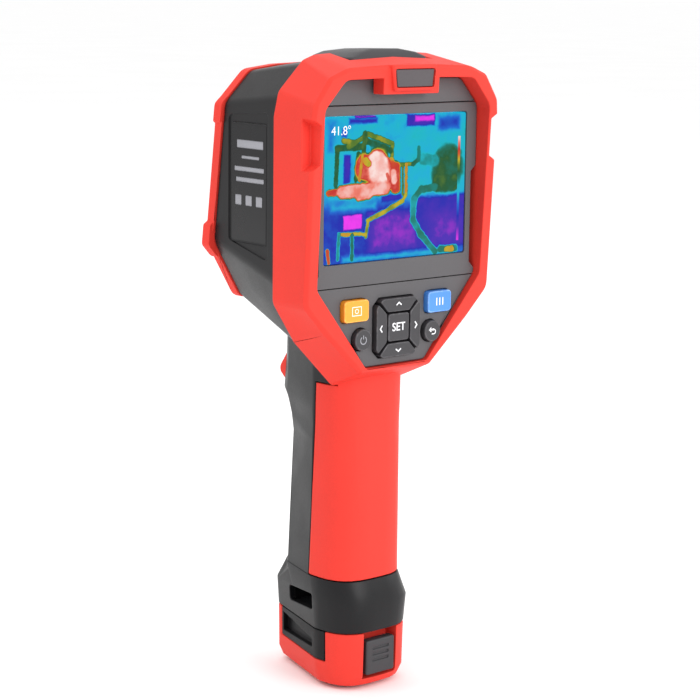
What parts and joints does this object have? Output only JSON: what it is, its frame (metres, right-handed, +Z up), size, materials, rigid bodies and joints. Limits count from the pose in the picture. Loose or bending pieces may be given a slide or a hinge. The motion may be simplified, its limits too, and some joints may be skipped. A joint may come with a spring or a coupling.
{
  "type": "thermal imaging camera",
  "caption": "Pistol-grip thermal imaging camera with framed screen, keypad, infrared lens, trigger, hinged port cover and slide-in battery in the foot.",
  "frame": {"origin": "middle of the flat underside of the battery, below the grip", "axes": "+X to the right of the person reading the screen, +Y forward through the lens, +Z up"},
  "size_m": [0.0954, 0.0945, 0.2481],
  "materials": {
    "battery_board": "solder mask",
    "battery_case": "satin",
    "battery_cell": "film",
    "battery_latch": "satin",
    "battery_pad_left": "satin",
    "battery_pad_right": "satin",
    "battery_tower": "matte",
    "camera_module": "matte",
    "camera_window": "clear",
    "card_slot": "plated",
    "contact_block": "plated",
    "detector_board": "solder mask",
    "display_glass": "clear",
    "dock_contacts": "matte",
    "down_key": "satin",
    "front_bumper": "satin",
    "front_plate": "satin",
    "front_screw_1": "plated",
    "front_screw_2": "plated",
    "front_screw_3": "plated",
    "front_screw_4": "plated",
    "handle_shell": "satin",
    "head_shell": "satin",
    "io_board": "solder mask",
    "ir_detector": "cast",
    "ir_lens": "coated germanium",
    "key_board": "solder mask",
    "keypad_membrane": "matte",
    "keypad_panel": "satin",
    "lamp_lens": "clear",
    "laser_module": "turned",
    "laser_window": "clear",
    "latch_spring": "plain",
    "lcd_module": "lit",
    "left_key": "satin",
    "lens_barrel": "satin",
    "lens_ring": "anodised",
    "lens_seal": "matte",
    "lug_window": "dark",
    "main_board": "solder mask",
    "mode_key": "satin",
    "photo_key": "satin",
    "port_cover": "matte",
    "power_key": "satin",
    "rear_bumper": "satin",
    "return_key": "satin",
    "right_key": "satin",
    "screen_bezel": "satin",
    "set_key": "satin",
    "shutter_blade": "dark plated",
    "shutter_motor": "plain",
    "speaker": "matte",
    "top_trim": "satin",
    "trigger": "satin",
    "trigger_spring": "plain",
    "trigger_switch": "matte",
    "up_key": "satin",
    "usb_connector": "plated"
  },
  "bodies": {
    "housing": {"camera_module": "camera_module", "camera_window": "camera_window", "card_slot": "card_slot", "detector_board": "detector_board", "display_glass": "display_glass", "dock_contacts": "dock_contacts", "front_bumper": "front_bumper", "front_plate": "front_plate", "front_screw_1": "front_screw_1", "front_screw_2": "front_screw_2", "front_screw_3": "front_screw_3", "front_screw_4": "front_screw_4", "handle_shell": "handle_shell", "head_shell": "head_shell", "io_board": "io_board", "ir_detector": "ir_detector", "ir_lens": "ir_lens", "key_board": "key_board", "keypad_membrane": "keypad_membrane", "keypad_panel": "keypad_panel", "lamp_lens": "lamp_lens", "laser_module": "laser_module", "laser_window": "laser_window", "lcd_module": "lcd_module", "lens_barrel": "lens_barrel", "lens_ring": "lens_ring", "lens_seal": "lens_seal", "lug_window": "lug_window", "main_board": "main_board", "rear_bumper": "rear_bumper", "screen_bezel": "screen_bezel", "shutter_motor": "shutter_motor", "speaker": "speaker", "top_trim": "top_trim", "trigger_spring": "trigger_spring", "trigger_switch": "trigger_switch", "usb_connector": "usb_connector"},
    "battery": {"battery_case": "battery_case", "battery_tower": "battery_tower", "battery_cell": "battery_cell", "battery_board": "battery_board", "contact_block": "contact_block", "battery_pad_left": "battery_pad_left", "battery_pad_right": "battery_pad_right", "latch_spring": "latch_spring"},
    "battery_latch": {"battery_latch": "battery_latch"},
    "trigger": {"trigger": "trigger"},
    "port_cover": {"port_cover": "port_cover"},
    "shutter_blade": {"shutter_blade": "shutter_blade"},
    "photo_key": {"photo_key": "photo_key"},
    "mode_key": {"mode_key": "mode_key"},
    "power_key": {"power_key": "power_key"},
    "return_key": {"return_key": "return_key"},
    "set_key": {"set_key": "set_key"},
    "up_key": {"up_key": "up_key"},
    "right_key": {"right_key": "right_key"},
    "down_key": {"down_key": "down_key"},
    "left_key": {"left_key": "left_key"}
  },
  "joints": [
    {"name": "battery_slide", "type": "slide", "parent": "housing", "child": "battery", "axis": [0, 0, -1], "range_m": [0, 0.085]},
    {"name": "battery_latch_press", "type": "slide", "parent": "battery", "child": "battery_latch", "axis": [0, 1, 0], "range_m": [0, 0.0012], "stiffness_N_per_m": 2500, "springref_m": -0.001, "deforming": ["latch_spring"]},
    {"name": "trigger_pull", "type": "slide", "parent": "housing", "child": "trigger", "axis": [0, -1, 0], "range_m": [0, 0.003], "stiffness_N_per_m": 600, "springref_m": -0.002, "deforming": ["trigger_spring"]},
    {"name": "port_cover_hinge", "type": "hinge", "parent": "housing", "child": "port_cover", "pos_m": [0, -0.0014, 0.2446], "axis": [-1, 0, 0], "range_deg": [0, 100]},
    {"name": "shutter_swing", "type": "hinge", "parent": "housing", "child": "shutter_blade", "pos_m": [0.016, 0.0112, 0.203], "axis": [0, 1, 0], "range_deg": [0, 60]},
    {"name": "photo_key_press", "type": "slide", "parent": "housing", "child": "photo_key", "axis": [0, 1, 0], "range_m": [0, 0.0009], "stiffness_N_per_m": 1500, "springref_m": -0.0005},
    {"name": "mode_key_press", "type": "slide", "parent": "housing", "child": "mode_key", "axis": [0, 1, 0], "range_m": [0, 0.0009], "stiffness_N_per_m": 1500, "springref_m": -0.0005},
    {"name": "power_key_press", "type": "slide", "parent": "housing", "child": "power_key", "axis": [0, 1, 0], "range_m": [0, 0.0009], "stiffness_N_per_m": 1500, "springref_m": -0.0005},
    {"name": "return_key_press", "type": "slide", "parent": "housing", "child": "return_key", "axis": [0, 1, 0], "range_m": [0, 0.0009], "stiffness_N_per_m": 1500, "springref_m": -0.0005},
    {"name": "set_key_press", "type": "slide", "parent": "housing", "child": "set_key", "axis": [0, 1, 0], "range_m": [0, 0.0009], "stiffness_N_per_m": 1500, "springref_m": -0.0005},
    {"name": "up_key_press", "type": "slide", "parent": "housing", "child": "up_key", "axis": [0, 1, 0], "range_m": [0, 0.0009], "stiffness_N_per_m": 1500, "springref_m": -0.0005},
    {"name": "right_key_press", "type": "slide", "parent": "housing", "child": "right_key", "axis": [0, 1, 0], "range_m": [0, 0.0009], "stiffness_N_per_m": 1500, "springref_m": -0.0005},
    {"name": "down_key_press", "type": "slide", "parent": "housing", "child": "down_key", "axis": [0, 1, 0], "range_m": [0, 0.0009], "stiffness_N_per_m": 1500, "springref_m": -0.0005},
    {"name": "left_key_press", "type": "slide", "parent": "housing", "child": "left_key", "axis": [0, 1, 0], "range_m": [0, 0.0009], "stiffness_N_per_m": 1500, "springref_m": -0.0005}
  ]
}
